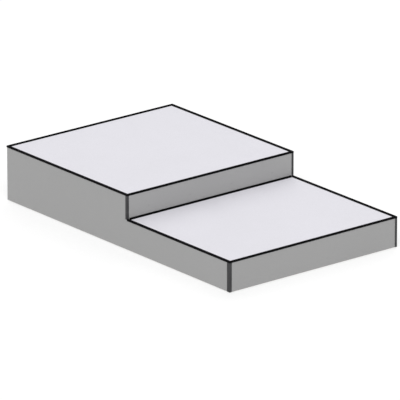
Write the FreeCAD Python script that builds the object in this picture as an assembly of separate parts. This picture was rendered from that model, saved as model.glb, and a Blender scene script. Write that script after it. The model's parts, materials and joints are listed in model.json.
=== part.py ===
"""Two-level spa steps: two stacked timber box frames, clad in sheet panels and topped with sheet treads.

The lower box frame carries the whole footprint on six levelling feet. The upper box frame stands on its
back part. Panels close all the sides, a tread covers each level, and pressed-in edge trims cap every joint
between them.

X runs across the steps, +Y from the lower step to the back and +Z up. The origin lies on the floor under the
middle of the footprint. All sizes are in millimetres.
"""

import FreeCAD
import Part

import os

from FreeCAD import Rotation, Vector

# ---- Overall sizes ----
overall_width = 1200.0  # over the two side panels
lower_run = 905.0  # front panel's face to riser panel's face
upper_run = 1095.0  # riser panel's face to back panel's face
foot_gap = 15.5  # floor to the underside of the lower frame
skirt_gap = 5.0  # floor to the bottom edge of the panels

# ---- Frame boards ----
board_height = 145.0
board_thickness = 45.0
board_arris = 2.0  # planed round along the long edges
lower_front_joists = 2  # under the lower tread
lower_back_joists = 2  # under the upper frame
upper_joists = 3
tape_thickness = 1.0  # rubber tape between boards and tread

# ---- Panels and treads ----
panel_thickness = 10.0
panel_easing = 0.8  # chamfer round a panel's outer face
tread_thickness = 18.0
tread_back_clearance = 1.0  # lower tread to the upper frame

# ---- Edge trims: a cap, a lip outside the panel, a barbed stem between panel and tread ----
cap_thickness = 1.8
cap_lap = 4.5  # over the tread's edge
lip_thickness = 2.0
lip_drop = 5.0  # below the panel's top edge
stem_thickness = 2.2
stem_depth = 11.0
stem_clearance = 0.3  # barbs to the tread's edge
barb_reach = 0.5
barb_height = 2.0
barb_pitch = 4.0
bead_width = 5.0  # half-round bead along the outer edge, felt by a bare foot
bead_height = 5.5  # above the tread
cap_bevel = 1.0  # inner top edge
groove_count = 4  # grip grooves along the cap
groove_pitch = 3.0
groove_width = 1.2
groove_depth = 0.5
first_groove = 6.9  # from the lip's face

# ---- Corner trims and the cove at the riser's foot ----
corner_wall = 2.0
corner_round = 1.5
front_corner_cover = 3.0  # onto the front panel, past the side panel's edge
front_corner_leg = 21.5  # along the side panel
riser_corner_cover = 2.0
riser_corner_leg = 12.0
cove_height = 9.0
cove_depth = 12.0
cove_toe = 1.2
cove_hollow = 0.28  # how far the face's middle lies from the riser, as a share of the depth

# ---- Angle brackets and tie plates ----
bracket_leg = 44.0
bracket_width = 40.0
bracket_thickness = 2.5
bracket_near_hole = 17.0  # from the corner along a leg
bracket_far_hole = 34.0
bracket_hole_rise = 9.0  # above and below the bracket's middle
bracket_round = 6.0
gusset_leg = 12.0
gusset_thickness = 3.0
plate_height = 120.0
plate_width = 40.0
plate_thickness = 2.5
plate_holes = (18.0, 45.0)  # above and below the joint between the frames
plate_inset = 245.0  # plates on the cross boards, from their ends
plate_round = 8.0

# ---- Screws: shank radius, head radius, head depth, length and the socket's width across its flats ----
frame_screw = {"shank": 3.0, "head": 6.0, "depth": 3.5, "length": 90.0, "socket": 4.0}
tread_screw = {"shank": 2.5, "head": 4.6, "depth": 2.6, "length": 55.0, "socket": 3.0}
panel_screw = {"shank": 2.2, "head": 4.0, "depth": 2.2, "length": 28.0, "socket": 2.5}
bracket_screw = {"shank": 2.2, "head": 4.2, "depth": 2.0, "length": 28.0, "socket": 2.5}
socket_depth = 1.5
screw_tip = 6.0
screw_clearance = 0.1  # pilot holes, all round
screw_end_clearance = 1.0
pan_crown = 0.8  # flat top of a pan head, as a share of its radius
plug_depth = 4.0  # colour-matched plug over a sunk screw
plug_clearance = 0.05
plug_bevel = 0.4
frame_screw_rise = 35.0  # from a board's top and bottom edges
tread_screws_per_board = 4
tread_screw_inset = 68.0  # from a cross board's end
panel_screws_per_board = 4
panel_screw_inset = 100.0  # from a cross board's end
side_screws_lower = 6
side_screws_upper = 4
side_screw_inset = 50.0  # from a side board's end

# ---- Levelling feet ----
foot_inset = 90.0  # end feet, from the frame's ends
middle_foot_offset = 40.0  # middle feet, behind the riser bearer
foot_raise = 3.0  # how far a foot screws in from its rest height
pad_radius = 21.0
pad_height = 6.0
pad_bevel = 1.5
pad_clearance = 1.5  # pad to side panel
disc_rim = 3.0  # rubber round the steel disc
disc_thickness = 3.0
disc_clearance = 0.05
hex_across_flats = 14.0
hex_height = 5.0
stud_radius = 5.0
stud_length = 50.0  # above the hexagon
stud_chamfer = 1.0
stud_clearance = 0.05
insert_wall = 3.0
insert_length = 25.0
insert_flange = 2.5  # past the insert's barrel
insert_flange_thickness = 2.0
insert_clearance = 0.05
bore_clearance = 1.0  # round the stud, above the insert
bore_end_clearance = 1.5  # above a stud that is screwed right in
bore_overrun = 1.0  # how far a bore's cutter starts outside the wood

# ---- Planes and levels that follow from these ----
x_panel = overall_width / 2
x_frame = x_panel - panel_thickness
x_inner = x_frame - board_thickness
y_front = -(lower_run + upper_run) / 2
y_riser = y_front + lower_run
y_back = y_front + lower_run + upper_run
y_frame_front = y_front + panel_thickness
y_frame_riser = y_riser + panel_thickness
y_frame_back = y_back - panel_thickness
z_lower_frame = foot_gap
z_upper_frame = z_lower_frame + board_height
z_lower_tread = z_upper_frame + tape_thickness + tread_thickness  # walking surface
z_upper_tread = z_lower_tread + board_height
stem_gap = stem_thickness + barb_reach + stem_clearance  # slot between panel and tread
x_tread = x_frame - stem_gap
cap_width = lip_thickness + panel_thickness + stem_gap + cap_lap
cap_inner_x = x_panel + lip_thickness - cap_width
z_lower_screws = z_lower_frame + board_height / 2  # brackets and panel screws sit at mid-height
z_upper_screws = z_upper_frame + board_height / 2

parts = {}
holes = []


def box(x0, x1, y0, y1, z0, z1):
    """A block between two corners."""
    return Part.makeBox(x1 - x0, y1 - y0, z1 - z0, Vector(x0, y0, z0))


def turned(points):
    """A solid of revolution about Z from (radius, height) points."""
    wire = Part.makePolygon([Vector(r, 0, z) for r, z in points + points[:1]])
    return Part.Face(wire).revolve(Vector(), Vector(0, 0, 1), 360)


def prism(points, direction, bends=None):
    """A straight solid from the corners of one end face.

    bends gives the sides that are arcs, as {index of the side's first corner: a point half-way along}.
    """
    sides = []
    for i, point in enumerate(points):
        end = points[(i + 1) % len(points)]
        if bends and i in bends:
            sides.append(Part.Arc(point, bends[i], end).toShape())
        else:
            sides.append(Part.LineSegment(point, end).toShape())
    return Part.Face(Part.Wire(sides)).extrude(direction)


def placed(shape, at, direction):
    """A copy of a shape made along +Z, moved to a point and aimed along a direction."""
    copy = shape.copy()
    copy.Placement = FreeCAD.Placement(at, Rotation(Vector(0, 0, 1), direction))
    return copy


def hexagon(across_flats, z0, height):
    """A six-sided bar on the Z axis."""
    corner = Vector(across_flats / 3**0.5, 0, z0)
    ring = [Rotation(Vector(0, 0, 1), 60 * i).multVec(corner) for i in range(6)]
    return prism(ring, Vector(0, 0, height))


def spread(first, last, count):
    """Evenly spaced values from first to last, both included."""
    return [first + (last - first) * i / (count - 1) for i in range(count)]


def between(first, last, count, thickness):
    """Lower edges of equally spaced boards with equal gaps in a clear space."""
    gap = (last - first - count * thickness) / (count + 1)
    return [first + gap + i * (gap + thickness) for i in range(count)]


# ---- Fasteners ----


def countersunk(spec, clearance=0.0, extra=0.0):
    """A countersunk screw, head face at the origin, pointing along +Z; or the hole for it."""
    shank = spec["shank"] + clearance
    head = spec["head"] + clearance
    length = spec["length"] + extra
    body = turned([(0, 0), (head, 0), (shank, spec["depth"]), (shank, length - screw_tip), (0, length)])
    return body if extra else body.cut(hexagon(spec["socket"], 0, socket_depth))


def pan_head(spec, clearance=0.0, extra=0.0):
    """A pan-head screw whose head stands before the origin; or the hole for its shank."""
    shank = spec["shank"] + clearance
    head = spec["head"]
    length = spec["length"] + extra
    tip = [(shank, length - screw_tip), (0, length)]
    if extra:
        return turned([(0, 0), (shank, 0)] + tip)
    top = -spec["depth"]
    crown = head * pan_crown
    body = turned([(0, top), (crown, top), (head, top / 2), (head, 0), (shank, 0)] + tip)
    return body.cut(hexagon(spec["socket"], top, socket_depth))


def fasten(name, shape, spec, points, direction, plug_name=None):
    """Adds a screw at each point, its pilot hole, and a plug over it where the screw is sunk."""
    screw = shape(spec)
    pilot = shape(spec, screw_clearance, screw_end_clearance)
    sink = plug_depth if plug_name else 0.0
    for point in points:
        seat = point + direction * sink
        parts.setdefault(name, []).append(placed(screw, seat, direction))
        holes.append(placed(pilot, seat, direction))
        if plug_name:
            radius = spec["head"] + screw_clearance
            rim = radius - plug_clearance
            plug = turned([(0, 0), (rim - plug_bevel, 0), (rim, plug_bevel), (rim, sink), (0, sink)])
            parts.setdefault(plug_name, []).append(placed(plug, point, direction))
            holes.append(placed(Part.makeCylinder(radius, sink), point, direction))


def drilled(shape):
    """The shape with every pilot hole that reaches it."""
    reaching = [h for h in holes if h.BoundBox.intersect(shape.BoundBox)]
    return shape.cut(reaching) if reaching else shape


# ---- Frames ----


def board(x0, x1, y0, y1, z0):
    """A planed board on edge, its long edges rounded."""
    plank = box(x0, x1, y0, y1, z0, z0 + board_height)
    long_edges = [e for e in plank.Edges if e.Length > 2 * board_height]
    return plank.makeFillet(board_arris, long_edges)


def frame_boards():
    """Both box frames, as {name: board}. Side boards run full length, cross boards fit between them."""
    boards = {}

    def side_boards(name, y0, z0):
        boards[name + "_left"] = board(-x_frame, -x_inner, y0, y_frame_back, z0)
        boards[name + "_right"] = board(x_inner, x_frame, y0, y_frame_back, z0)

    def cross_board(name, y0, z0):
        boards[name] = board(-x_inner, x_inner, y0, y0 + board_thickness, z0)

    side_boards("lower_side_board", y_frame_front, z_lower_frame)
    cross_board("lower_front_board", y_frame_front, z_lower_frame)
    for i, y in enumerate(lower_front_joist_y(), 1):
        cross_board(f"lower_front_joist_{i}", y, z_lower_frame)
    cross_board("step_bearer", y_frame_riser - board_thickness, z_lower_frame)
    cross_board("riser_bearer", y_frame_riser, z_lower_frame)
    for i, y in enumerate(lower_back_joist_y(), 1):
        cross_board(f"lower_back_joist_{i}", y, z_lower_frame)
    cross_board("lower_back_board", y_frame_back - board_thickness, z_lower_frame)

    side_boards("upper_side_board", y_frame_riser, z_upper_frame)
    cross_board("upper_front_board", y_frame_riser, z_upper_frame)
    for i, y in enumerate(upper_joist_y(), 1):
        cross_board(f"upper_joist_{i}", y, z_upper_frame)
    cross_board("upper_back_board", y_frame_back - board_thickness, z_upper_frame)
    return boards


def lower_front_joist_y():
    first = y_frame_front + board_thickness
    last = y_frame_riser - board_thickness
    return between(first, last, lower_front_joists, board_thickness)


def back_bay():
    """Clear space behind the upper front board."""
    return y_frame_riser + board_thickness, y_frame_back - board_thickness


def lower_back_joist_y():
    return between(*back_bay(), lower_back_joists, board_thickness)


def upper_joist_y():
    return between(*back_bay(), upper_joists, board_thickness)


def lower_deck_y():
    """Front edges of the cross boards that carry the lower tread."""
    return [y_frame_front] + lower_front_joist_y() + [y_frame_riser - board_thickness]


def upper_deck_y():
    """Front edges of the cross boards that carry the upper tread."""
    return [y_frame_riser] + upper_joist_y() + [y_frame_back - board_thickness]


def add_frame_screws():
    """Two screws through the side board into each end of every cross board."""
    lower = lower_deck_y() + [y_frame_riser] + lower_back_joist_y() + [y_frame_back - board_thickness]
    for ys, z0 in ((lower, z_lower_frame), (upper_deck_y(), z_upper_frame)):
        for side in (-1, 1):
            for rise in (frame_screw_rise, board_height - frame_screw_rise):
                points = [Vector(side * x_frame, y + board_thickness / 2, z0 + rise) for y in ys]
                fasten("frame_screws", countersunk, frame_screw, points, Vector(-side, 0, 0))


def joist_tape(deck_y, z_top, y0, y1):
    """Tape strips on the tops of one deck's boards."""
    z0 = z_top - tread_thickness - tape_thickness
    z1 = z0 + tape_thickness
    strips = [box(x0, x0 + board_thickness, y0, y1, z0, z1) for x0 in (-x_frame, x_inner)]
    return strips + [box(-x_inner, x_inner, y, y + board_thickness, z0, z1) for y in deck_y]


# ---- Brackets and plates ----


def thin_edges(plate, thickness):
    """The edges that run through a plate's thickness."""
    return [e for e in plate.Edges if abs(e.Length - thickness) < thickness / 100]


def angle_bracket():
    """An angle bracket with a gusset, in the corner of +X and +Y, its middle at z = 0."""
    leg = bracket_leg
    t = bracket_thickness
    plan = ((0, 0), (leg, 0), (leg, t), (t, t), (t, leg), (0, leg))
    angle = prism([Vector(x, y, -bracket_width / 2) for x, y in plan], Vector(0, 0, bracket_width))
    angle = angle.makeFillet(bracket_round, [e for e in thin_edges(angle, t) if e.BoundBox.ZLength < t / 2])
    web = ((0, 0), (t + gusset_leg, t), (t, t + gusset_leg))
    gusset = prism([Vector(x, y, -gusset_thickness / 2) for x, y in web], Vector(0, 0, gusset_thickness))
    return angle.fuse(gusset).removeSplitter()


def tie_plate():
    """A flat plate against the plane X = 0, its middle at the origin."""
    half = plate_width / 2
    plate = box(0, plate_thickness, -half, half, -plate_height / 2, plate_height / 2)
    return plate.makeFillet(plate_round, thin_edges(plate, plate_thickness))


def add_corner_brackets():
    """A bracket with four screws in every corner of both frames."""
    y_lower = y_frame_front + board_thickness
    y_upper = y_frame_riser + board_thickness
    y_end = y_frame_back - board_thickness
    t = bracket_thickness
    leg_holes = ((bracket_near_hole, bracket_hole_rise), (bracket_far_hole, -bracket_hole_rise))
    for y_start, level in ((y_lower, z_lower_screws), (y_upper, z_upper_screws)):
        starts = ((-x_inner, y_start, 0), (x_inner, y_start, 90))
        ends = ((x_inner, y_end, 180), (-x_inner, y_end, 270))
        for x, y, angle in starts + ends:
            turn = Rotation(Vector(0, 0, 1), angle)
            corner = Vector(x, y, level)
            bracket = angle_bracket()
            bracket.Placement = FreeCAD.Placement(corner, turn)
            parts.setdefault("corner_brackets", []).append(bracket)
            along_x = [corner + turn.multVec(Vector(reach, t, z)) for reach, z in leg_holes]
            along_y = [corner + turn.multVec(Vector(t, reach, z)) for reach, z in leg_holes]
            into_cross = turn.multVec(Vector(0, -1, 0))
            into_side = turn.multVec(Vector(-1, 0, 0))
            fasten("bracket_screws", pan_head, bracket_screw, along_x, into_cross)
            fasten("bracket_screws", pan_head, bracket_screw, along_y, into_side)


def add_tie_plates():
    """Flat plates with four screws each that hold the upper frame down on the lower one."""
    bay_start, bay_end = back_bay()
    first_gap = (upper_joist_y()[0] - bay_start) / 2
    spots = []
    for y in (bay_start + first_gap, bay_end - first_gap):
        spots += [(Vector(-x_inner, y, z_upper_frame), 0), (Vector(x_inner, y, z_upper_frame), 180)]
    for x in (-(x_inner - plate_inset), x_inner - plate_inset):
        spots += [(Vector(x, bay_start, z_upper_frame), 90), (Vector(x, bay_end, z_upper_frame), 270)]
    for spot, angle in spots:
        turn = Rotation(Vector(0, 0, 1), angle)
        plate = tie_plate()
        plate.Placement = FreeCAD.Placement(spot, turn)
        parts.setdefault("tie_plates", []).append(plate)
        rises = [side * z for z in plate_holes for side in (-1, 1)]
        points = [spot + turn.multVec(Vector(plate_thickness, 0, z)) for z in rises]
        fasten("bracket_screws", pan_head, bracket_screw, points, turn.multVec(Vector(-1, 0, 0)))


# ---- Panels and treads ----


def eased(panel, outward):
    """The panel with the edges of its outer face eased."""
    face = max(panel.Faces, key=lambda f: f.CenterOfMass.dot(outward))
    return panel.makeChamfer(panel_easing, face.Edges)


def side_panel(x0, outward):
    """A stepped panel that closes one whole side."""
    corners = (
        (y_front, skirt_gap),
        (y_back, skirt_gap),
        (y_back, z_upper_tread),
        (y_riser, z_upper_tread),
        (y_riser, z_lower_tread),
        (y_front, z_lower_tread),
    )
    return eased(prism([Vector(x0, y, z) for y, z in corners], Vector(panel_thickness, 0, 0)), outward)


def cross_panel(y0, outward, z0, z1):
    """A panel that fits between the side panels."""
    return eased(box(-x_frame, x_frame, y0, y0 + panel_thickness, z0, z1), outward)


def panels():
    """The five cladding panels."""
    right, back = Vector(1, 0, 0), Vector(0, 1, 0)
    return {
        "left_side_panel": side_panel(-x_panel, -right),
        "right_side_panel": side_panel(x_frame, right),
        "front_panel": cross_panel(y_front, -back, skirt_gap, z_lower_tread),
        "riser_panel": cross_panel(y_riser, -back, z_lower_tread, z_upper_tread),
        "back_panel": cross_panel(y_frame_back, back, skirt_gap, z_upper_tread),
    }


def treads():
    """The two tread sheets, each a slot away from the panels round it."""
    lower_y = (y_frame_front + stem_gap, y_frame_riser - tread_back_clearance)
    upper_y = (y_frame_riser + stem_gap, y_frame_back - stem_gap)
    return {
        "lower_tread": box(-x_tread, x_tread, *lower_y, z_lower_tread - tread_thickness, z_lower_tread),
        "upper_tread": box(-x_tread, x_tread, *upper_y, z_upper_tread - tread_thickness, z_upper_tread),
    }


def add_tread_screws():
    """Plugged screws through each tread into the cross boards."""
    xs = spread(-(x_inner - tread_screw_inset), x_inner - tread_screw_inset, tread_screws_per_board)
    for ys, z in ((lower_deck_y(), z_lower_tread), (upper_deck_y(), z_upper_tread)):
        points = [Vector(x, y + board_thickness / 2, z) for y in ys for x in xs]
        fasten("tread_screws", countersunk, tread_screw, points, Vector(0, 0, -1), "tread_screw_plugs")


def add_panel_screws():
    """Plugged screws through the panels into the boards behind them."""
    xs = spread(-(x_inner - panel_screw_inset), x_inner - panel_screw_inset, panel_screws_per_board)
    inset = side_screw_inset
    lower_ys = spread(y_frame_front + inset, y_frame_back - inset, side_screws_lower)
    upper_ys = spread(y_frame_riser + inset, y_frame_back - inset, side_screws_upper)
    rows = [
        ([Vector(x, y_front, z_lower_screws) for x in xs], Vector(0, 1, 0)),
        ([Vector(x, y_riser, z_upper_screws) for x in xs], Vector(0, 1, 0)),
        ([Vector(x, y_back, z) for x in xs for z in (z_lower_screws, z_upper_screws)], Vector(0, -1, 0)),
    ]
    for side in (-1, 1):
        points = [Vector(side * x_panel, y, z_lower_screws) for y in lower_ys]
        points += [Vector(side * x_panel, y, z_upper_screws) for y in upper_ys]
        rows.append((points, Vector(-side, 0, 0)))
    for points, direction in rows:
        fasten("panel_screws", countersunk, panel_screw, points, direction, "panel_screw_plugs")


# ---- Trims ----


def edge_trim(corner, along, outward, length, mitres, coped=0.0):
    """A capping strip along one tread edge.

    corner is the panel's outer top corner where the strip starts, and length runs to its other end. mitres
    says of the start and the end whether they are cut at 45 degrees, to close against the next strip. coped
    is how far the bead stops short of the end, to clear an upright strip that stands on the cap there.
    """
    up = Vector(0, 0, 1)

    def at(s, u, v):
        return corner + along * s + outward * u + up * v

    inner = lip_thickness - cap_width
    bead_round = bead_width / 2
    stem_out = -panel_thickness
    stem_in = stem_out - stem_thickness
    barb_in = stem_in - barb_reach
    barb_foot = -stem_depth
    outline = [
        (lip_thickness, -lip_drop),
        (lip_thickness, bead_height - bead_round),
        (lip_thickness - bead_width, bead_height - bead_round),
        (lip_thickness - bead_width, cap_thickness),
    ]
    for i in range(groove_count):
        groove = lip_thickness - first_groove - i * groove_pitch
        half = groove_width / 2
        floor = cap_thickness - groove_depth
        outline += [(groove + half, cap_thickness), (groove, floor), (groove - half, cap_thickness)]
    outline += [
        (inner + cap_bevel, cap_thickness),
        (inner, cap_thickness - cap_bevel),
        (inner, 0.0),
        (stem_in, 0.0),
    ]
    for foot in (barb_foot + barb_pitch, barb_foot):
        outline += [(stem_in, foot + barb_height), (barb_in, foot + barb_height), (stem_in, foot)]
    outline += [(stem_out, -stem_depth), (stem_out, 0.0), (0.0, 0.0), (0.0, -lip_drop)]

    reach = cap_width  # beyond both ends, before the ends are cut
    middle = at(-reach, lip_thickness - bead_round, bead_height)
    strip = prism([at(-reach, u, v) for u, v in outline], along * (length + 2 * reach), {1: middle})

    first = reach if mitres[0] else 0.0
    last = reach if mitres[1] else 0.0
    plan = [(first, -reach), (length - last, -reach), (length + last, reach), (-first, reach)]
    below = -stem_depth - cap_width
    ends = prism([at(s, u, below) for s, u in plan], up * (2 * cap_width + stem_depth))
    strip = strip.common(ends)
    if coped:
        above = [(lip_thickness, cap_thickness), (inner, cap_thickness), (inner, reach)]
        above.append((lip_thickness, reach))
        strip = strip.cut(prism([at(length - coped, u, v) for u, v in above], along * reach))
    return strip


def edge_trims():
    """Four strips round the upper tread and three round the open sides of the lower one."""
    right, back = Vector(1, 0, 0), Vector(0, 1, 0)
    closed = (True, True)
    cut_short = (True, False)
    trims = {}
    for name, y0, z, length, ends, coped in (
        ("lower", y_front, z_lower_tread, lower_run, cut_short, corner_wall),
        ("upper", y_riser, z_upper_tread, upper_run, closed, 0.0),
    ):
        left_corner = Vector(-x_panel, y0, z)
        right_corner = Vector(x_panel, y0, z)
        trims[name + "_front_edge_trim"] = edge_trim(left_corner, right, -back, overall_width, closed)
        trims[name + "_left_edge_trim"] = edge_trim(left_corner, back, -right, length, ends, coped)
        trims[name + "_right_edge_trim"] = edge_trim(right_corner, back, right, length, ends, coped)
    back_corner = Vector(-x_panel, y_back, z_upper_tread)
    trims["upper_back_edge_trim"] = edge_trim(back_corner, right, back, overall_width, closed)
    return trims


def corner_trim(side, y, cover, leg, z0, z1):
    """An upright angle strip over the corner of a side panel and a cross panel."""
    w = corner_wall
    flange = panel_thickness + cover
    plan = [
        (x_panel + w, y - w),
        (x_panel - flange, y - w),
        (x_panel - flange, y),
        (x_panel, y),
        (x_panel, y + leg),
        (x_panel + w, y + leg),
    ]
    strip = prism([Vector(side * px, py, z0) for px, py in plan], Vector(0, 0, z1 - z0))
    outer = Vector(side * (x_panel + w), y - w, z0)
    edge = [e for e in strip.Edges if e.BoundBox.ZLength > 1 and abs(e.CenterOfMass.x - outer.x) < 0.01]
    edge = [e for e in edge if abs(e.CenterOfMass.y - outer.y) < 0.01]
    return strip.makeFillet(corner_round, edge)


def corner_trims():
    """Corner strips under the edge trims' lips: two at the front, and two at the riser on the lower caps."""
    trims = {}
    riser_top = z_upper_tread - lip_drop
    for name, side in (("left", -1), ("right", 1)):
        trims[f"front_{name}_corner_trim"] = corner_trim(
            side, y_front, front_corner_cover, front_corner_leg, skirt_gap, z_lower_tread - lip_drop
        )
        trims[f"riser_{name}_corner_trim"] = corner_trim(
            side, y_riser, riser_corner_cover, riser_corner_leg, z_lower_tread + cap_thickness, riser_top
        )
    return trims


def riser_cove():
    """A hollow-faced strip in the corner between the lower tread and the riser."""
    x0 = -cap_inner_x

    def at(back_off, rise):
        return Vector(x0, y_riser - back_off, z_lower_tread + rise)

    middle = at(*[cove_toe + (reach - cove_toe) * cove_hollow for reach in (cove_depth, cove_height)])
    face = [at(cove_toe, cove_height), at(cove_depth, cove_toe)]
    back = [at(cove_depth, 0), at(0, 0), at(0, cove_height)]
    return prism(face + back, Vector(2 * cap_inner_x, 0, 0), {0: middle})


# ---- Levelling feet ----


def foot_pad():
    """The rubber sole, with a seat for the steel disc."""
    seat = pad_height - disc_thickness
    rim = pad_radius - disc_rim
    return turned(
        [
            (0, 0),
            (pad_radius - pad_bevel, 0),
            (pad_radius, pad_bevel),
            (pad_radius, pad_height - pad_bevel),
            (pad_radius - pad_bevel, pad_height),
            (rim, pad_height),
            (rim, seat),
            (0, seat),
        ]
    )


def foot_stud():
    """The steel disc, hexagon and threaded stud of one foot."""
    z_disc = pad_height - disc_thickness
    z_stud = pad_height + hex_height
    z_top = z_stud + stud_length
    disc = Part.makeCylinder(pad_radius - disc_rim - disc_clearance, disc_thickness, Vector(0, 0, z_disc))
    nut = hexagon(hex_across_flats, pad_height, hex_height)
    r = stud_radius
    end = [(r, z_top - stud_chamfer), (r - stud_chamfer, z_top), (0, z_top)]
    stud = turned([(0, z_stud), (r, z_stud)] + end)
    return disc.fuse([nut, stud]).removeSplitter()


def foot_insert():
    """The threaded insert that a stud runs in, its flange's face at z = 0."""
    bore = stud_radius + stud_clearance
    barrel = bore + insert_wall
    flange = barrel + insert_flange
    return turned(
        [
            (bore, 0),
            (flange, 0),
            (flange, insert_flange_thickness),
            (barrel, insert_flange_thickness),
            (barrel, insert_length),
            (bore, insert_length),
        ]
    )


def foot_hole():
    """The blind hole for an insert and the end of its stud."""
    gap = insert_clearance
    barrel = stud_radius + stud_clearance + insert_wall + gap
    flange = barrel + insert_flange
    step = insert_flange_thickness + gap
    bore = stud_radius + bore_clearance
    stud_top = pad_height + hex_height + stud_length + foot_raise
    depth = stud_top + bore_end_clearance - z_lower_frame
    return turned(
        [
            (0, -bore_overrun),
            (flange, -bore_overrun),
            (flange, step),
            (barrel, step),
            (barrel, insert_length + gap),
            (bore, insert_length + gap),
            (bore, depth),
            (0, depth),
        ]
    )


def foot_places():
    """Name and centre of each foot, under the side boards."""
    x = x_frame - pad_clearance - pad_radius
    rows = (
        ("front", y_frame_front + foot_inset),
        ("middle", y_frame_riser + board_thickness + middle_foot_offset),
        ("back", y_frame_back - foot_inset),
    )
    sides = (("left", -x), ("right", x))
    return [(f"{row}_{side}", Vector(foot_x, y, 0)) for row, y in rows for side, foot_x in sides]


def add_feet():
    up = Vector(0, 0, 1)
    for name, spot in foot_places():
        parts[f"foot_pad_{name}"] = [placed(foot_pad(), spot, up)]
        parts[f"foot_stud_{name}"] = [placed(foot_stud(), spot, up)]
        seat = spot + up * z_lower_frame
        parts.setdefault("foot_inserts", []).append(placed(foot_insert(), seat, up))
        holes.append(placed(foot_hole(), seat, up))


# ---- Assembly ----


def main():
    add_frame_screws()
    add_corner_brackets()
    add_tie_plates()
    add_tread_screws()
    add_panel_screws()
    add_feet()
    for name in ("corner_brackets", "tie_plates"):
        parts[name] = [drilled(s) for s in parts[name]]
    for group in (frame_boards(), panels(), treads()):
        for name, shape in group.items():
            parts[name] = [drilled(shape)]
    tape = joist_tape(lower_deck_y(), z_lower_tread, y_frame_front, y_frame_riser)
    tape += joist_tape(upper_deck_y(), z_upper_tread, y_frame_riser, y_frame_back)
    parts["joist_tape"] = [drilled(s) for s in tape]
    for group in (edge_trims(), corner_trims(), {"riser_cove_trim": riser_cove()}):
        for name, shape in group.items():
            parts[name] = [shape]

    os.makedirs("parts", exist_ok=True)
    for name, shapes in parts.items():
        solids = [solid for shape in shapes for solid in shape.Solids]
        whole = Part.makeCompound(solids) if len(solids) > 1 else solids[0]
        if not whole.isValid():
            raise ValueError(f"{name} is not a valid shape")
        whole.exportStep(os.path.join("parts", name + ".step"))
    print(len(parts), "nodes,", sum(len(s) for s in parts.values()), "pieces")


main()
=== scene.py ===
"""Looks of the two-level spa steps: finishes, fixings, feet, light and camera round the fixed frame.

Lengths are in metres in the frame's own axes: X across the steps, +Y from the lower step to the back, +Z up.
"""

import json
import math

import bmesh
import bpy
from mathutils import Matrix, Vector

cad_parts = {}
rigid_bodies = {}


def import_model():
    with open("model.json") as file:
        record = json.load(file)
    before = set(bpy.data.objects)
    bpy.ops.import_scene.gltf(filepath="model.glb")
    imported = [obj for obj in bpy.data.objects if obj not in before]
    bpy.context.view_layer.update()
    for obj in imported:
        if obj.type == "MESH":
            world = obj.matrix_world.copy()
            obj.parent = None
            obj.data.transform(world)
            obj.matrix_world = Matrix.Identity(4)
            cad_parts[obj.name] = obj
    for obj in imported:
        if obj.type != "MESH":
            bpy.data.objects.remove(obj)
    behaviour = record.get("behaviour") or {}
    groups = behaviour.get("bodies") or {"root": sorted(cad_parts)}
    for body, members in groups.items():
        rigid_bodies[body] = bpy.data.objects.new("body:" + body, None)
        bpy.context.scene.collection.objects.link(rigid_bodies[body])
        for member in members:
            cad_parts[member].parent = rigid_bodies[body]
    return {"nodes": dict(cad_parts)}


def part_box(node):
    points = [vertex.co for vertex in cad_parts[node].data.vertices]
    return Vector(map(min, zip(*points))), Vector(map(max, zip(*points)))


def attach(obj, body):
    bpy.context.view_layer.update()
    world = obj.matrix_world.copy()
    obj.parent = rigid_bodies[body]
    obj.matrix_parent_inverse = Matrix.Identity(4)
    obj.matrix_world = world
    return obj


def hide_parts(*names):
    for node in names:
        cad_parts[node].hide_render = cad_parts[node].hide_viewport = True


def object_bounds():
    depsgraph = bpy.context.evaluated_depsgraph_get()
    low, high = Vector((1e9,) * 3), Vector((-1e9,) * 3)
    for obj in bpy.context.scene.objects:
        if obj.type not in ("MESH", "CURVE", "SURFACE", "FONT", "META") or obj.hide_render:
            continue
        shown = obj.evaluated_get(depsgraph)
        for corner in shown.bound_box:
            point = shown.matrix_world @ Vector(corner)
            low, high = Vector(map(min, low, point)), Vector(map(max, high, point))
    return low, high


for leftover in list(bpy.data.objects):
    bpy.data.objects.remove(leftover)
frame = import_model()
cad_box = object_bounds()
nodes = frame["nodes"]

MM = 0.001


# ---- Node helpers, for materials and Geometry Nodes alike ----


def add(tree, kind, inputs=(), **settings):
    """Adds a node, sets its options, then fills its inputs by name or number with values or links."""
    node = tree.nodes.new(kind)
    for name, value in settings.items():
        setattr(node, name, value)
    for key, value in dict(inputs).items():
        if isinstance(value, bpy.types.NodeSocket):
            tree.links.new(value, node.inputs[key])
        else:
            node.inputs[key].default_value = value
    return node


def calc(tree, operation, *values):
    """A Math node's result."""
    return add(tree, "ShaderNodeMath", enumerate(values), operation=operation).outputs[0]


def stretch(tree, value, low, high, to_low=0.0, to_high=1.0):
    """A value from one range smoothly stretched to another, held at its ends."""
    inputs = {"Value": value, "From Min": low, "From Max": high, "To Min": to_low, "To Max": to_high}
    node = add(tree, "ShaderNodeMapRange", inputs, interpolation_type="SMOOTHSTEP")
    return node.outputs["Result"]


def blend(tree, factor, first, second):
    """A colour mix. first and second are colours or links."""
    node = add(tree, "ShaderNodeMix", data_type="RGBA")
    for socket, value in ((node.inputs["Factor"], factor), (node.inputs[6], first), (node.inputs[7], second)):
        if isinstance(value, bpy.types.NodeSocket):
            tree.links.new(value, socket)
        else:
            socket.default_value = value
    return node.outputs[2]


def noise(tree, place, scale, detail, roughness=0.5):
    """A noise pattern's strength, from 0 to 1."""
    inputs = {"Vector": place, "Scale": scale, "Detail": detail, "Roughness": roughness}
    return add(tree, "ShaderNodeTexNoise", inputs).outputs["Fac"]


def scaled(tree, place, factors, offset=(0.0, 0.0, 0.0), turn=(0.0, 0.0, 0.0)):
    """Coordinates moved, turned and stretched, so that a pattern runs another way."""
    inputs = {"Vector": place, "Location": offset, "Rotation": turn, "Scale": factors}
    return add(tree, "ShaderNodeMapping", inputs).outputs["Vector"]


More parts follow.
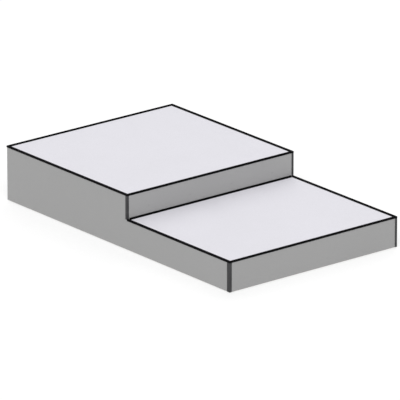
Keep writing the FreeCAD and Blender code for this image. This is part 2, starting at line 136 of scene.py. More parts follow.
def shade(colour, factor):
    """A lighter or darker colour, opaque."""
    return tuple(c * factor for c in colour[:3]) + (1.0,)


class Finish:
    """A material under way: its node tree, its main shader and the piece's own coordinates."""

    def __init__(self, name, **sockets):
        self.material = bpy.data.materials.new(name)
        self.material.use_nodes = True
        self.tree = self.material.node_tree
        self.shader = self.tree.nodes["Principled BSDF"]
        self.place = add(self.tree, "ShaderNodeTexCoord").outputs["Object"]
        for socket, value in sockets.items():
            self.set(socket.replace("_", " "), value)

    def set(self, socket, value):
        """Gives the shader a value or a pattern."""
        if isinstance(value, bpy.types.NodeSocket):
            self.tree.links.new(value, self.shader.inputs[socket])
        else:
            self.shader.inputs[socket].default_value = value

    def relief(self, layers):
        """Bump from (height, depth in metres) layers, one over another."""
        normal = None
        for height, depth in layers:
            inputs = {"Height": height, "Distance": depth, "Strength": 1.0}
            if normal:
                inputs["Normal"] = normal
            normal = add(self.tree, "ShaderNodeBump", inputs).outputs["Normal"]
        self.set("Normal", normal)


# ---- Finishes: patterns are given in repeats per metre, reliefs in metres ----

TREAD_LIGHT = (0.767, 0.757, 0.810)
CLADDING_GREY = (0.322, 0.321, 0.321)
TRIM_BLACK = (0.004, 0.004, 0.0045)
CORNER_GREY = (0.046, 0.046, 0.048)
STAINLESS = (0.62, 0.61, 0.60, 1.0)
STAINLESS_STAIN = (0.45, 0.43, 0.41, 1.0)
ZINC_PLATING = (0.66, 0.67, 0.68, 1.0)
ZINC_STAIN = (0.50, 0.49, 0.46, 1.0)
BRASS = (0.80, 0.60, 0.27, 1.0)
BRASS_STAIN = (0.50, 0.36, 0.17, 1.0)
PAD_BLACK = (0.022, 0.022, 0.023, 1.0)
TAPE_BLACK = (0.030, 0.030, 0.031, 1.0)


def grained_sheet(name, colour, grain, depth, wear):
    """Pressed plastic sheet: pebble grain, faint mottling, and fine scuffs where it is trodden."""
    pale, dark, flecked, scuffed, painted_valley_shade = 1.012, 0.985, 0.93, 1.12, 0.90
    scuff_lines, scuff_turn = (40.0, 260.0, 40.0), (0.0, 0.0, 0.6)
    swirl_share = 0.002
    look = Finish(name, IOR=1.49, Specular_IOR_Level=0.4)
    tree, place = look.tree, look.place
    cloud = noise(tree, place, 3.5, 4.0)
    tone = blend(tree, stretch(tree, cloud, 0.35, 0.65), shade(colour, dark), shade(colour, pale))
    fleck = noise(tree, place, 420.0, 2.0)
    tone = blend(tree, stretch(tree, fleck, 0.62, 0.75, 0.0, 0.25), tone, shade(colour, flecked))
    scuffs = noise(tree, scaled(tree, place, scuff_lines, turn=scuff_turn), 1.0, 2.0)
    trodden = noise(tree, place, 2.2, 2.0)
    worn = calc(tree, "MULTIPLY", stretch(tree, scuffs, 0.6, 0.72), stretch(tree, trodden, 0.45, 0.62))
    worn = calc(tree, "MULTIPLY", worn, wear)
    tone = blend(tree, worn, tone, shade(colour, scuffed))
    swirl = add(tree, "ShaderNodeTexNoise", {"Vector": place, "Scale": grain / 4}).outputs["Color"]
    swirled = blend(tree, swirl_share, place, swirl)
    cells = add(tree, "ShaderNodeTexVoronoi", {"Vector": swirled, "Scale": grain}, feature="SMOOTH_F1")
    valley = stretch(tree, cells.outputs["Distance"], 0.25, 0.8)
    # Painted shade: the base colour is a tenth darker in the hollows of the pebble grain.
    look.set("Base Color", blend(tree, valley, tone, shade(colour, painted_valley_shade)))
    look.set("Roughness", stretch(tree, cloud, 0.3, 0.7, 0.5, 0.6))
    swell = noise(tree, place, grain / 9, 2.0)
    pebbles = calc(tree, "SUBTRACT", 1.0, valley)
    look.relief([(swell, depth), (pebbles, depth * 0.4)])
    return look.material


def trim_plastic(name, colour, dust, gloss):
    """Extruded trim: dull, finely pitted, uneven in depth of colour, with specks of dust."""
    dust_colour = (0.22, 0.21, 0.20, 1.0)
    look = Finish(name, IOR=1.5, Specular_IOR_Level=gloss)
    tree, place = look.tree, look.place
    cloud = noise(tree, place, 14.0, 4.0)
    fine = noise(tree, place, 700.0, 2.0)
    tone = blend(tree, stretch(tree, cloud, 0.3, 0.7), shade(colour, 0.85), shade(colour, 1.2))
    specks = calc(tree, "MULTIPLY", stretch(tree, fine, 0.58, 0.8), dust)
    tone = blend(tree, specks, tone, dust_colour)
    look.set("Base Color", tone)
    look.set("Roughness", stretch(tree, cloud, 0.3, 0.7, 0.42, 0.56))
    look.relief([(fine, 0.00008)])
    return look.material


def timber(name, offset, turn):
    """Treated softwood: growth rings along the board, knots, fibres and a green cast."""
    early_wood = (0.47, 0.37, 0.19, 1.0)
    green_wood = (0.40, 0.36, 0.17, 1.0)
    late_wood = (0.27, 0.18, 0.075, 1.0)
    pale_fibre = (0.60, 0.50, 0.30, 1.0)
    knot_heart = (0.10, 0.052, 0.022, 1.0)
    knot_rim = (0.24, 0.14, 0.06, 1.0)
    sway_across, sway_up = 0.05, 0.04  # how far the rings wander from straight
    look = Finish(name, IOR=1.45, Specular_IOR_Level=0.3)
    tree = look.tree
    along = scaled(tree, look.place, (1.0, 1.0, 1.0), offset, turn)
    bend = noise(tree, scaled(tree, along, (1.3, 5.0, 5.0)), 1.0, 2.0)
    lift = noise(tree, scaled(tree, along, (1.0, 3.0, 3.0)), 1.7, 1.0)
    sway_inputs = {"Y": calc(tree, "MULTIPLY", bend, sway_across), "Z": calc(tree, "MULTIPLY", lift, sway_up)}
    sway = add(tree, "ShaderNodeCombineXYZ", sway_inputs).outputs[0]
    swayed = add(tree, "ShaderNodeVectorMath", {0: along, 1: sway}, operation="ADD").outputs[0]
    ring_inputs = {"Vector": swayed, "Scale": 48.0, "Distortion": 1.2, "Detail": 2.0, "Detail Scale": 0.6}
    rings = add(tree, "ShaderNodeTexWave", ring_inputs, wave_type="RINGS", rings_direction="X")
    late = stretch(tree, rings.outputs["Fac"], 0.35, 0.95)
    fibre = noise(tree, scaled(tree, along, (9.0, 900.0, 900.0)), 1.0, 3.0, 0.6)
    cast = noise(tree, scaled(tree, along, (1.0, 3.0, 3.0)), 2.0, 3.0)
    knots = add(tree, "ShaderNodeTexVoronoi", {"Vector": scaled(tree, along, (3.1, 11.0, 9.0)), "Scale": 1.0})
    knot = knots.outputs["Distance"]
    early = blend(tree, stretch(tree, cast, 0.35, 0.65), early_wood, green_wood)
    tone = blend(tree, late, early, late_wood)
    tone = blend(tree, stretch(tree, fibre, 0.5, 0.8, 0.0, 0.45), tone, pale_fibre)
    tone = blend(tree, stretch(tree, knot, 0.16, 0.10), tone, knot_heart)
    tone = blend(tree, stretch(tree, knot, 0.24, 0.15, 0.0, 0.5), tone, knot_rim)
    look.set("Base Color", tone)
    look.set("Roughness", stretch(tree, fibre, 0.3, 0.7, 0.66, 0.84))
    look.relief([(late, 0.0002), (fibre, 0.00025)])
    return look.material


def zinc(name):
    """Galvanised sheet: flat crystals of slightly different grey, and white bloom."""
    dark_crystal = (0.52, 0.54, 0.56, 1.0)
    light_crystal = (0.70, 0.72, 0.74, 1.0)
    white_bloom = (0.66, 0.66, 0.65, 1.0)
    look = Finish(name, Metallic=1.0)
    tree, place = look.tree, look.place
    crystals = add(tree, "ShaderNodeTexVoronoi", {"Vector": place, "Scale": 190.0})
    facet = add(tree, "ShaderNodeSeparateColor", {0: crystals.outputs["Color"]}).outputs[0]
    tone = blend(tree, facet, dark_crystal, light_crystal)
    bloom = noise(tree, place, 60.0, 5.0)
    tone = blend(tree, stretch(tree, bloom, 0.58, 0.75, 0.0, 0.6), tone, white_bloom)
    look.set("Base Color", tone)
    facet_roughness = stretch(tree, facet, 0.0, 1.0, 0.28, 0.42)
    bloom_roughness = stretch(tree, bloom, 0.58, 0.75, 0.0, 0.25)
    look.set("Roughness", calc(tree, "ADD", facet_roughness, bloom_roughness))
    look.relief([(facet, 0.00004), (noise(tree, place, 900.0, 2.0), 0.00003)])
    return look.material


def bright_metal(name, colour, stain, smooth):
    """Turned metal: fine tool marks and slight staining, which dulls it."""
    dulled = 0.18
    look = Finish(name, Metallic=1.0)
    tree, place = look.tree, look.place
    marks = noise(tree, scaled(tree, place, (1.0, 1.0, 7.0)), 500.0, 2.0)
    cloud = noise(tree, place, 90.0, 4.0)
    tone = blend(tree, stretch(tree, cloud, 0.5, 0.75, 0.0, 0.7), colour, stain)
    look.set("Base Color", tone)
    look.set("Roughness", stretch(tree, cloud, 0.35, 0.75, smooth, smooth + dulled))
    look.relief([(marks, 0.00003)])
    return look.material


def soft_rubber(name, colour):
    """Moulded rubber: dull, dusty and finely pitted."""
    dust_colour = (0.16, 0.15, 0.14, 1.0)
    look = Finish(name, IOR=1.52, Specular_IOR_Level=0.35)
    tree, place = look.tree, look.place
    cloud = noise(tree, place, 70.0, 5.0, 0.6)
    dusty = stretch(tree, cloud, 0.48, 0.75, 0.0, 0.35)
    look.set("Base Color", blend(tree, dusty, colour, dust_colour))
    look.set("Roughness", stretch(tree, cloud, 0.3, 0.7, 0.62, 0.85))
    look.relief([(noise(tree, place, 1100.0, 2.0), 0.00008)])
    return look.material


TREAD_PLUG = shade(TREAD_LIGHT, 0.97)
CLADDING_PLUG = shade(CLADDING_GREY, 0.95)
RISER_GREY_PAINTED_LIGHT = shade(CLADDING_GREY, 1.12)  # painted light: the same sheet as the other panels, lightened to offset the lower tread's shade on the riser


def give(material, *names):
    """Puts one finish on CAD nodes."""
    for name in names:
        slots = nodes[name].data.materials
        for number in range(len(slots)):
            slots[number] = material


tread_sheet = grained_sheet("tread_sheet_grained", TREAD_LIGHT, grain=560.0, depth=0.0006, wear=0.5)
tread_plug = grained_sheet("tread_plug_grained", TREAD_PLUG, grain=760.0, depth=0.0003, wear=0.2)
cladding = grained_sheet("cladding_grained", CLADDING_GREY, grain=760.0, depth=0.0004, wear=0.12)
# Painted light: the riser's finish is the panels' grey, lightened against the shade that the lower tread
# casts on it.
riser_cladding_painted_light = grained_sheet("riser_sheet_painted_light", RISER_GREY_PAINTED_LIGHT, grain=760.0, depth=0.0004, wear=0.12)
cladding_plug = grained_sheet("cladding_plug_grained", CLADDING_PLUG, grain=900.0, depth=0.0002, wear=0.1)
edge_trim = trim_plastic("edge_trim_satin", TRIM_BLACK, dust=0.006, gloss=0.015)
corner_trim = trim_plastic("corner_trim_satin", CORNER_GREY, dust=0.06, gloss=0.09)
zinc_plate = zinc("zinc_spangle")
screw_steel = bright_metal("screw_stainless", STAINLESS, STAINLESS_STAIN, smooth=0.22)
stud_steel = bright_metal("stud_zinc", ZINC_PLATING, ZINC_STAIN, smooth=0.26)
insert_brass = bright_metal("insert_brass", BRASS, BRASS_STAIN, smooth=0.24)
pad_rubber = soft_rubber("pad_rubber", PAD_BLACK)
tape_rubber = soft_rubber("tape_rubber", TAPE_BLACK)

give(tread_sheet, "lower_tread", "upper_tread")
give(tread_plug, "tread_screw_plugs")
give(cladding, "left_side_panel", "right_side_panel", "front_panel", "back_panel")
give(riser_cladding_painted_light, "riser_panel")
give(cladding_plug, "panel_screw_plugs")
give(edge_trim, *[name for name in nodes if name.endswith("_edge_trim")], "riser_cove_trim")
give(corner_trim, *[name for name in nodes if name.endswith("_corner_trim")])
give(zinc_plate, "corner_brackets", "tie_plates")
give(tape_rubber, "joist_tape")

boards = [name for name in nodes if "board" in name or "joist_" in name or "bearer" in name]
boards.remove("joist_tape")
for count, name in enumerate(sorted(boards)):
    low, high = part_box(name)
    middle = (low + high) / 2
    lengthways = high.y - low.y > high.x - low.x
    turn = (0.0, 0.0, -math.pi / 2) if lengthways else (0.0, 0.0, 0.0)
    across = middle.x if lengthways else -middle.y
    pith_across = 0.02 + 0.013 * (count * 5 % 7)  # each board is cut from another part of its log
    pith_up = 0.06 - 0.017 * (count * 3 % 8)
    offset = (0.37 * count, across + pith_across, pith_up - middle.z)
    give(timber(f"timber_{name}", offset, turn), name)


# ---- Made pieces: every tree has named sizes, and its result is kept as a plain mesh ----

SOCKET_KINDS = {
    int: "NodeSocketInt", float: "NodeSocketFloat",
    "geometry": "NodeSocketGeometry", "finish": "NodeSocketMaterial"}


def new_tree(name, sizes):
    """A Geometry Nodes tree with a named input for each size, and the sockets to read them from."""
    tree = bpy.data.node_groups.new(name, "GeometryNodeTree")
    tree.interface.new_socket("Shape", in_out="OUTPUT", socket_type="NodeSocketGeometry")
    for size, kind in sizes.items():
        tree.interface.new_socket(size, in_out="INPUT", socket_type=SOCKET_KINDS[kind])
    return tree, add(tree, "NodeGroupInput").outputs


def end_tree(tree, shape, finish):
    """Makes what the tree has placed real, and gives it its finish."""
    real = add(tree, "GeometryNodeRealizeInstances", {"Geometry": shape}).outputs[0]
    done = add(tree, "GeometryNodeSetMaterial", {"Geometry": real, "Material": finish}).outputs[0]
    add(tree, "NodeGroupOutput", {0: done})


def merged(tree, *shapes):
    """One closed shape from several that overlap."""
    node = add(tree, "GeometryNodeMeshBoolean", operation="UNION", solver="MANIFOLD")
    for shape in shapes:
        tree.links.new(shape, node.inputs["Mesh 2"])
    return node.outputs[0]


def less(tree, shape, cutter):
    """A shape with another cut out of it."""
    node = add(tree, "GeometryNodeMeshBoolean", {"Mesh 1": shape}, operation="DIFFERENCE", solver="MANIFOLD")
    tree.links.new(cutter, node.inputs["Mesh 2"])
    return node.outputs[0]


def rod(tree, radius, length, sides, low):
    """A closed round bar standing on the height low."""
    inputs = {"Vertices": sides, "Side Segments": 1, "Radius": radius, "Depth": length}
    bar = add(tree, "GeometryNodeMeshCylinder", inputs).outputs["Mesh"]
    rise = calc(tree, "ADD", calc(tree, "MULTIPLY", length, 0.5), low)
    up = add(tree, "ShaderNodeCombineXYZ", {"Z": rise}).outputs[0]
    return add(tree, "GeometryNodeTransform", {"Geometry": bar, "Translation": up}).outputs[0]


def taper(tree, radius, tip, length, sides, low):
    """A closed cone or frustum standing on the height low."""
    inputs = {"Vertices": sides, "Radius Bottom": radius, "Radius Top": tip, "Depth": length}
    cone = add(tree, "GeometryNodeMeshCone", inputs).outputs["Mesh"]
    up = add(tree, "ShaderNodeCombineXYZ", {"Z": low}).outputs[0]
    return add(tree, "GeometryNodeTransform", {"Geometry": cone, "Translation": up}).outputs[0]


def helix(tree, radius, pitch, length, depth, low, sides):
    """A V-shaped ridge wound round a bar: its crest lies at the radius, its foot inside the bar."""
    mean = calc(tree, "SUBTRACT", radius, depth)
    turns = calc(tree, "DIVIDE", length, pitch)
    inputs = {"Resolution": sides, "Rotations": turns, "Height": length}
    inputs.update({"Start Radius": mean, "End Radius": mean})
    spiral = add(tree, "GeometryNodeCurveSpiral", inputs).outputs[0]
    upright = add(tree, "GeometryNodeSetCurveNormal", {"Curve": spiral}, mode="Z_UP").outputs[0]
    section = add(tree, "GeometryNodeCurvePrimitiveCircle", {"Resolution": 3, "Radius": depth}, mode="RADIUS")
    inputs = {"Curve": upright, "Profile Curve": section.outputs[0], "Fill Caps": True}
    ridge = add(tree, "GeometryNodeCurveToMesh", inputs).outputs[0]
    up = add(tree, "ShaderNodeCombineXYZ", {"Z": low}).outputs[0]
    return add(tree, "GeometryNodeTransform", {"Geometry": ridge, "Translation": up}).outputs[0]


def grow(name, tree, values, seats):
    """Runs a tree on its seats with its sizes set, and keeps the result as a plain mesh."""
    maker = bpy.data.objects.new("maker", seats)
    bpy.context.scene.collection.objects.link(maker)
    modifier = maker.modifiers.new("grow", "NODES")
    modifier.node_group = tree
    for item in tree.interface.items_tree:
        if item.in_out == "INPUT" and item.name in values:
            modifier[item.identifier] = values[item.name]
    graph = bpy.context.evaluated_depsgraph_get()
    mesh = bpy.data.meshes.new_from_object(maker.evaluated_get(graph), depsgraph=graph)
    mesh.name = name
    mesh.materials.clear()
    mesh.materials.append(values["Finish"])
    for face in mesh.polygons:
        face.material_index = 0
    bpy.data.objects.remove(maker)
    piece = bpy.data.objects.new(name, mesh)
    bpy.context.scene.collection.objects.link(piece)
    return piece


# ---- Screws ----

SAME_POINT = 0.001 * MM
END_BAND = 0.1 * MM  # points this near a screw's end belong to its end face
SCREW_SIDES = 8
HEAD_SIDES = 12
HEXAGON_SIDES = 6


def side_reach(offset, axis):
    """How far a point lies from an axis."""
    return math.hypot(*[offset[i] for i in range(3) if i != axis])


def screw_seats(name):
    """A point at the outer face of each screw in a CAD node, with the way that the screw aims."""
    mesh = bmesh.new()
    mesh.from_mesh(nodes[name].data)
    bmesh.ops.remove_doubles(mesh, verts=mesh.verts, dist=SAME_POINT)
    seats, aims, seen = [], [], set()
    for start in mesh.verts:
        if start in seen:
            continue
        seen.add(start)
        screw = [start]
        for vert in screw:
            for edge in vert.link_edges:
                other = edge.other_vert(vert)
                if other not in seen:
                    seen.add(other)
                    screw.append(other)
        low = Vector([min(v.co[i] for v in screw) for i in range(3)])
        high = Vector([max(v.co[i] for v in screw) for i in range(3)])
        axis = max(range(3), key=lambda i: high[i] - low[i])
        ends = [min(screw, key=lambda v: v.co[axis]), max(screw, key=lambda v: v.co[axis])]
        reaches = [max(side_reach(v.co - (low + high) / 2, axis) for v in screw
                       if abs(v.co[axis] - end.co[axis]) < END_BAND) for end in ends]
        tip = ends[reaches.index(min(reaches))]
        aim = Vector()
        aim[axis] = math.copysign(1.0, tip.co[axis] - (low + high)[axis] / 2)
        seats.append(tip.co - aim * (high[axis] - low[axis]))
        aims.append(aim)
    mesh.free()
    data = bpy.data.meshes.new("seats")
    data.from_pydata(seats, [], [])
    aim_values = data.attributes.new("aim", "FLOAT_VECTOR", "POINT")
    for item, aim in zip(aim_values.data, aims):
        item.vector = aim
    return data


def screw_tree():
    """Screws with a threaded shank and a hexagon socket, one on each seat, each turned its own way."""
    sizes = {"Seats": "geometry", "Face Radius": float, "Waist Radius": float, "Under Radius": float}
    sizes.update({"Head Depth": float, "Shank Radius": float, "Length": float, "Tip": float, "Pitch": float})
    sizes.update({"Thread Length": float, "Thread Depth": float})
    sizes.update({"Socket Radius": float, "Socket Depth": float, "Seed": int, "Finish": "finish"})
    core_depth = 1.3  # thread depths from the thread's crest to the core
    tree, size = new_tree("screws on seats", sizes)
    half = calc(tree, "MULTIPLY", size["Head Depth"], 0.5)
    face = taper(tree, size["Face Radius"], size["Waist Radius"], half, HEAD_SIDES, 0.0)
    under = taper(tree, size["Waist Radius"], size["Under Radius"], half, HEAD_SIDES, half)
    sunk = calc(tree, "MULTIPLY", size["Thread Depth"], core_depth)
    core = calc(tree, "SUBTRACT", size["Shank Radius"], sunk)
    straight = calc(tree, "SUBTRACT", size["Length"], size["Tip"])
    shank = rod(tree, core, calc(tree, "SUBTRACT", straight, half), SCREW_SIDES, half)
    point = taper(tree, core, 0.0, size["Tip"], SCREW_SIDES, straight)
    wound = size["Thread Length"]
    first = calc(tree, "SUBTRACT", straight, wound)
    ridge = helix(tree, size["Shank Radius"], size["Pitch"], wound, size["Thread Depth"], first, SCREW_SIDES)
    solid = merged(tree, face, under, shank, point, ridge)
    reach = calc(tree, "MULTIPLY", size["Socket Depth"], 2.0)
    start = calc(tree, "MULTIPLY", size["Socket Depth"], -1.0)
    screw = less(tree, solid, rod(tree, size["Socket Radius"], reach, HEXAGON_SIDES, start))
    spin = add(tree, "FunctionNodeRandomValue", {2: 0.0, 3: math.tau, "Seed": size["Seed"]})
    turned = add(tree, "FunctionNodeAxisAngleToRotation", {"Axis": (0.0, 0.0, 1.0), "Angle": spin.outputs[1]})
    aim = add(tree, "GeometryNodeInputNamedAttribute", {"Name": "aim"}, data_type="FLOAT_VECTOR").outputs[0]
    inputs = {"Rotation": turned.outputs[0], "Vector": aim}
    aimed = add(tree, "FunctionNodeAlignRotationToVector", inputs, axis="Z")
    inputs = {"Points": size["Seats"], "Instance": screw, "Rotation": aimed.outputs[0]}
    end_tree(tree, add(tree, "GeometryNodeInstanceOnPoints", inputs).outputs[0], size["Finish"])
    return tree


screws_on_seats = screw_tree()


def add_screws(name, seed, sizes):
    """Threaded screws in place of a CAD node's plain ones, on the same seats."""
    values = {key: size * MM for key, size in sizes.items()}
    values.update({"Seed": seed, "Finish": screw_steel})
    piece = grow(f"{name}_threaded", screws_on_seats, values, screw_seats(name))
    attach(piece, "steps")
    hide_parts(name)


add_screws("frame_screws", 11, {
    "Face Radius": 6.0, "Waist Radius": 4.6, "Under Radius": 3.0, "Head Depth": 3.5, "Shank Radius": 3.0,
    "Length": 90.0, "Tip": 6.0, "Pitch": 4.5, "Thread Length": 50.0, "Thread Depth": 0.6,
    "Socket Radius": 2.31, "Socket Depth": 1.5})
add_screws("tread_screws", 12, {
    "Face Radius": 4.6, "Waist Radius": 3.5, "Under Radius": 2.5, "Head Depth": 2.6, "Shank Radius": 2.5,
    "Length": 55.0, "Tip": 6.0, "Pitch": 4.0, "Thread Length": 30.0, "Thread Depth": 0.5,
    "Socket Radius": 1.73, "Socket Depth": 1.5})
add_screws("panel_screws", 13, {
    "Face Radius": 4.0, "Waist Radius": 3.1, "Under Radius": 2.2, "Head Depth": 2.2, "Shank Radius": 2.2,
    "Length": 28.0, "Tip": 6.0, "Pitch": 3.0, "Thread Length": 18.0, "Thread Depth": 0.45,
    "Socket Radius": 1.44, "Socket Depth": 1.5})
add_screws("bracket_screws", 14, {
    "Face Radius": 3.36, "Waist Radius": 4.2, "Under Radius": 4.2, "Head Depth": 2.0, "Shank Radius": 2.2,
    "Length": 30.0, "Tip": 6.0, "Pitch": 3.0, "Thread Length": 20.0, "Thread Depth": 0.45,
    "Socket Radius": 1.44, "Socket Depth": 1.5})


# ---- Levelling feet ----

DISC_SIDES = 48
STUD_SIDES = 24
PAD_SIDES = 96
PAD_ROWS = 6


def stud_tree():
    """A levelling foot's steel: a disc, a hexagon for the spanner and a threaded stud."""
    sizes = {"Seats": "geometry", "Disc Radius": float, "Disc Height": float, "Hexagon Radius": float}
    sizes.update({"Hexagon Height": float, "Stud Radius": float, "Stud Length": float, "Pitch": float})
    sizes.update({"Thread Depth": float, "Chamfer": float, "Finish": "finish"})
    core_depth = 1.2  # thread depths from the thread's crest to the core
    tree, size = new_tree("threaded stud", sizes)
    edge = calc(tree, "MULTIPLY", size["Disc Height"], 0.25)
    above = calc(tree, "SUBTRACT", size["Disc Height"], edge)
    disc = rod(tree, size["Disc Radius"], above, DISC_SIDES, 0.0)
    rim_top = calc(tree, "SUBTRACT", size["Disc Radius"], edge)
    rim = taper(tree, size["Disc Radius"], rim_top, edge, DISC_SIDES, above)
    hexagon = rod(tree, size["Hexagon Radius"], size["Hexagon Height"], HEXAGON_SIDES, size["Disc Height"])
    foot = calc(tree, "ADD", size["Disc Height"], size["Hexagon Height"])
    sunk = calc(tree, "MULTIPLY", size["Thread Depth"], core_depth)
    core = calc(tree, "SUBTRACT", size["Stud Radius"], sunk)
    straight = calc(tree, "SUBTRACT", size["Stud Length"], size["Chamfer"])
    bar = rod(tree, core, straight, STUD_SIDES, foot)
    end = calc(tree, "SUBTRACT", core, size["Chamfer"])
    point = taper(tree, core, end, size["Chamfer"], STUD_SIDES, calc(tree, "ADD", foot, straight))
    wound = calc(tree, "SUBTRACT", straight, calc(tree, "MULTIPLY", size["Pitch"], 2.0))
    first = calc(tree, "ADD", foot, size["Pitch"])
    ridge = helix(tree, size["Stud Radius"], size["Pitch"], wound, size["Thread Depth"], first, STUD_SIDES)
    steel = merged(tree, disc, rim, hexagon, bar, point, ridge)
    placed = add(tree, "GeometryNodeInstanceOnPoints", {"Points": size["Seats"], "Instance": steel})
    end_tree(tree, placed.outputs[0], size["Finish"])
    return tree


def pad_tree():
    """A rubber foot: fluted round its side, ringed with grooves underneath, with a seat for the disc."""
    sizes = {"Seats": "geometry", "Radius": float, "Height": float, "Bevel": float, "Seat Radius": float}
    sizes.update({"Seat Height": float, "Flutes": int, "Flute Depth": float, "Grooves": int})
    sizes.update({"Groove Depth": float, "Finish": "finish"})
    tree, size = new_tree("fluted rubber foot", sizes)
    rings = calc(tree, "MULTIPLY", size["Grooves"], 2.0)
    inputs = {"Vertices": PAD_SIDES, "Side Segments": PAD_ROWS, "Fill Segments": rings}
    inputs.update({"Radius": size["Radius"], "Depth": size["Height"]})
    cylinder = add(tree, "GeometryNodeMeshCylinder", inputs, fill_type="TRIANGLE_FAN")
    block = cylinder.outputs["Mesh"]
    place = add(tree, "GeometryNodeInputPosition").outputs[0]
    x, y, z = add(tree, "ShaderNodeSeparateXYZ", {0: place}).outputs[:3]
    half = calc(tree, "MULTIPLY", size["Height"], 0.5)
    near_end = calc(tree, "MULTIPLY", half, 0.95)
    end_face = calc(tree, "GREATER_THAN", calc(tree, "ABSOLUTE", z), near_end)
    wave = calc(tree, "COSINE", calc(tree, "MULTIPLY", calc(tree, "ARCTAN2", y, x), size["Flutes"]))
    flute = calc(tree, "MULTIPLY", calc(tree, "MULTIPLY_ADD", wave, 0.5, 0.5), size["Flute Depth"])
    bevelled = calc(tree, "MULTIPLY", end_face, size["Bevel"])
    dip = calc(tree, "ADD", bevelled, calc(tree, "MULTIPLY", flute, calc(tree, "SUBTRACT", 1.0, end_face)))
    share = calc(tree, "SUBTRACT", 1.0, calc(tree, "DIVIDE", dip, size["Radius"]))
    reach = calc(tree, "SQRT", calc(tree, "ADD", calc(tree, "MULTIPLY", x, x), calc(tree, "MULTIPLY", y, y)))
    along = calc(tree, "MULTIPLY", calc(tree, "DIVIDE", reach, size["Radius"]), rings)
    groove = calc(tree, "POWER", calc(tree, "SINE", calc(tree, "MULTIPLY", along, math.pi / 2)), 2.0)
    sole = calc(tree, "MULTIPLY", end_face, calc(tree, "LESS_THAN", z, 0.0))
    rise = calc(tree, "MULTIPLY", calc(tree, "MULTIPLY", groove, size["Groove Depth"]), sole)
    raised = calc(tree, "ADD", calc(tree, "ADD", z, rise), half)
    inputs = {"X": calc(tree, "MULTIPLY", x, share), "Y": calc(tree, "MULTIPLY", y, share), "Z": raised}
    shaped = add(tree, "ShaderNodeCombineXYZ", inputs).outputs[0]
    pad = add(tree, "GeometryNodeSetPosition", {"Geometry": block, "Position": shaped}).outputs[0]
    pad = less(tree, pad, rod(tree, size["Seat Radius"], size["Height"], DISC_SIDES, size["Seat Height"]))
    placed = add(tree, "GeometryNodeInstanceOnPoints", {"Points": size["Seats"], "Instance": pad})
    end_tree(tree, placed.outputs[0], size["Finish"])
    return tree


threaded_stud = stud_tree()
fluted_foot = pad_tree()
STUD = {
    "Disc Radius": 17.95, "Disc Height": 3.0, "Hexagon Radius": 14.0 / math.sqrt(3), "Hexagon Height": 5.0,
    "Stud Radius": 5.0, "Stud Length": 50.0, "Pitch": 1.5, "Thread Depth": 0.75, "Chamfer": 1.0}
PAD = {
    "Radius": 21.0, "Height": 6.0, "Bevel": 1.0, "Seat Radius": 18.0, "Seat Height": 3.0,
    "Flute Depth": 0.6, "Groove Depth": 0.9}


def one_seat(name):
    """The middle of a CAD node's underside."""
    low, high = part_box(name)
    data = bpy.data.meshes.new("seat")
    data.from_pydata([((low.x + high.x) / 2, (low.y + high.y) / 2, low.z)], [], [])
    return data


for place in [f"{row}_{side}" for row in ("front", "middle", "back") for side in ("left", "right")]:
    stud_sizes = {key: size * MM for key, size in STUD.items()}
    stud_sizes["Finish"] = stud_steel
    stud = grow(f"threaded_stud_{place}", threaded_stud, stud_sizes, one_seat(f"foot_stud_{place}"))
    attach(stud, f"{place}_foot")
    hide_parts(f"foot_stud_{place}")
    pad_sizes = {key: size * MM for key, size in PAD.items()}
    pad_sizes.update({"Flutes": 32, "Grooves": 6, "Finish": pad_rubber})
    pad = grow(f"fluted_pad_{place}", fluted_foot, pad_sizes, one_seat(f"foot_pad_{place}"))
    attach(pad, f"{place}_foot")
    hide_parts(f"foot_pad_{place}")

give(insert_brass, "foot_inserts")


# ---- Stage: floor, light and camera ----

VIEW_AZIMUTH = math.radians(-38.93)
VIEW_ELEVATION = math.radians(19.09)
CAMERA_DISTANCE = 40.27
CAMERA_LENS = 644.65
AIM_SIDE = -0.001  # from the middle of the steps, across the camera's view
AIM_RISE = -0.0224  # from the middle of the steps, up the camera's view
FLOOR_RADIUS = 45.0
FLOOR_SIDES = 96
FLOOR_GLOW = 0.55
SURROUNDINGS = 0.44
MAIN_LAMP = 2.1
BACK_LAMP = 0.7
LAMP_SPREAD = math.radians(50.0)


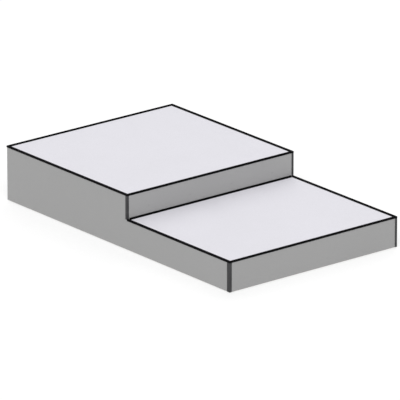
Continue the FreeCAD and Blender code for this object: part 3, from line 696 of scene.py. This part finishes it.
def make_floor():
    """A wide pale floor under the feet, bright enough to keep the shadows light."""
    mesh = bmesh.new()
    bmesh.ops.create_circle(mesh, cap_ends=True, radius=FLOOR_RADIUS, segments=FLOOR_SIDES)
    data = bpy.data.meshes.new("floor")
    mesh.to_mesh(data)
    mesh.free()
    floor = bpy.data.objects.new("floor", data)
    bpy.context.scene.collection.objects.link(floor)
    look = Finish("floor_pale", Roughness=0.9, Specular_IOR_Level=0.0)
    grain = noise(look.tree, look.place, 30.0, 2.0)
    look.set("Base Color", blend(look.tree, grain, (0.46, 0.46, 0.46, 1.0), (0.48, 0.48, 0.48, 1.0)))
    look.set("Emission Color", (1.0, 1.0, 1.0, 1.0))
    look.set("Emission Strength", FLOOR_GLOW)
    data.materials.append(look.material)


def add_lamp(name, power, aim):
    """A broad, distant lamp with soft shadows."""
    lamp = bpy.data.lights.new(name, "SUN")
    lamp.energy = power
    lamp.angle = LAMP_SPREAD
    holder = bpy.data.objects.new(name, lamp)
    holder.rotation_euler = Vector(aim).to_track_quat("-Z", "Y").to_euler()
    bpy.context.scene.collection.objects.link(holder)


def make_light():
    """Even white surroundings, a main lamp for the left and the front alike, and a weaker one behind."""
    world = bpy.data.worlds.new("surroundings")
    world.use_nodes = True
    background = world.node_tree.nodes["Background"]
    background.inputs["Color"].default_value = (1.0, 1.0, 1.0, 1.0)
    background.inputs["Strength"].default_value = SURROUNDINGS
    bpy.context.scene.world = world
    add_lamp("main_lamp", MAIN_LAMP, (1.0, 1.0, -1.3))
    add_lamp("back_lamp", BACK_LAMP, (-1.0, -1.0, -1.3))


def make_camera():
    """A long lens from the front left, a little above the steps."""
    level = Vector((math.sin(VIEW_AZIMUTH), -math.cos(VIEW_AZIMUTH), 0.0))
    back = level * math.cos(VIEW_ELEVATION) + Vector((0.0, 0.0, math.sin(VIEW_ELEVATION)))
    turn = (-back).to_track_quat("-Z", "Y")
    low, high = cad_box
    aim = (low + high) / 2 + turn @ Vector((AIM_SIDE, AIM_RISE, 0.0))
    camera = bpy.data.objects.new("camera", bpy.data.cameras.new("camera"))
    camera.data.lens = CAMERA_LENS
    camera.data.clip_end = 10 * CAMERA_DISTANCE
    camera.rotation_euler = turn.to_euler()
    camera.location = aim + back * CAMERA_DISTANCE
    bpy.context.scene.collection.objects.link(camera)
    bpy.context.scene.camera = camera


make_floor()
make_light()
make_camera()
bpy.context.scene.view_settings.view_transform = "Standard"
